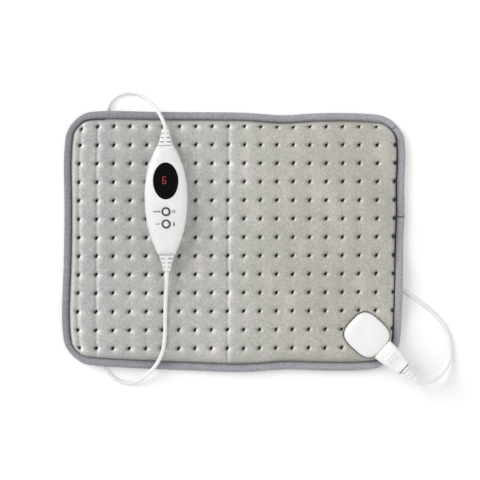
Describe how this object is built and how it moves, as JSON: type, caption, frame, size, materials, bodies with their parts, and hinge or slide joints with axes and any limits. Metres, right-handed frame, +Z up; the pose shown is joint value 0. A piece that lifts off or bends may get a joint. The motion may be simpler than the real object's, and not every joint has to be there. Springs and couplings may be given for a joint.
{
  "type": "heating pad with controller",
  "caption": "Rectangular plush heating pad with bound edges and sewn tufts, a corner connector with pull-off plug, and a lens-shaped hand controller with display and push buttons.",
  "frame": {"origin": "middle of the pad's footprint on the surface it lies on", "axes": "+X along the pad's length towards the connector, +Y across the pad, +Z up"},
  "size_m": [0.4585, 0.3465, 0.0412],
  "materials": {
    "plush": "short brushed plush",
    "back_cloth": "plain knitted cloth",
    "felt": "needle felt",
    "heating_wire": "silicone insulation",
    "binding": "soft rolled tape",
    "controller_white": "satin",
    "lens_black": "polished",
    "lit_red": "lit segments",
    "button_ring": "fine matte",
    "button_white": "satin",
    "dark_plastic": "moulded",
    "board": "coated board",
    "capacitor": "dipped case",
    "fuse_glass": "clear",
    "steel": "plated",
    "contact_brass": "plated",
    "boot_white": "soft moulded",
    "socket_white": "satin",
    "plug_white": "satin",
    "cord_white": "smooth jacket"
  },
  "bodies": {
    "pad": {"pad_front_cover": "plush", "pad_back_cover": "back_cloth", "heating_felt": "felt", "heating_wire": "heating_wire", "thermal_cutout": "steel", "temperature_sensor": "dark_plastic", "edge_binding": "binding", "socket_base": "socket_white", "socket_cap": "socket_white", "socket_clamp_plate": "steel", "socket_screw_1": "steel", "socket_screw_2": "steel", "socket_contact_block": "dark_plastic", "socket_pin_1": "contact_brass", "socket_pin_2": "contact_brass", "socket_pin_3": "contact_brass", "mains_lead_loop": "cord_white", "mains_lead_run": "cord_white", "mains_lead_coil": "cord_white", "coil_tie": "dark_plastic", "mains_plug_body": "plug_white", "mains_plug_pin_1": "contact_brass", "mains_plug_pin_2": "contact_brass", "mains_plug_relief": "boot_white", "pad_lead_loop": "cord_white", "pad_lead_run": "cord_white", "pad_lead_side_loop": "cord_white"},
    "controller": {"controller_top_shell": "controller_white", "controller_bottom_shell": "controller_white", "display_lens": "lens_black", "display_module": "dark_plastic", "lit_digit": "lit_red", "timer_button_ring": "button_ring", "heat_button_ring": "button_ring", "timer_switch_body": "dark_plastic", "heat_switch_body": "dark_plastic", "control_board": "board", "mains_terminal": "board", "pad_terminal": "board", "film_capacitor": "capacitor", "triac": "dark_plastic", "fuse": "fuse_glass", "controller_screw_1": "steel", "controller_screw_2": "steel", "controller_screw_3": "steel", "controller_screw_4": "steel", "upper_boot": "boot_white", "lower_boot": "boot_white"},
    "timer_button": {"timer_button_cap": "button_white", "timer_switch_plunger": "button_white"},
    "heat_button": {"heat_button_cap": "button_white", "heat_switch_plunger": "button_white"},
    "connector_plug": {"plug_upper_shell": "plug_white", "plug_lower_shell": "plug_white", "plug_contact_1": "contact_brass", "plug_contact_2": "contact_brass", "plug_contact_3": "contact_brass", "plug_relief": "boot_white"}
  },
  "joints": [
    {"name": "controller_lift", "type": "slide", "parent": "pad", "child": "controller", "axis": [0, 0, 1], "range_m": [0, 0.06], "deforming": ["mains_lead_loop", "pad_lead_loop"]},
    {"name": "timer_press", "type": "slide", "parent": "controller", "child": "timer_button", "axis": [0, 0, -1], "range_m": [0, 0.0006], "stiffness_N_per_m": 900},
    {"name": "heat_press", "type": "slide", "parent": "controller", "child": "heat_button", "axis": [0, 0, -1], "range_m": [0, 0.0006], "stiffness_N_per_m": 900},
    {"name": "plug_pull", "type": "slide", "parent": "pad", "child": "connector_plug", "axis": [0.7408, -0.6717, 0], "range_m": [0, 0.022], "deforming": ["pad_lead_side_loop"]}
  ]
}
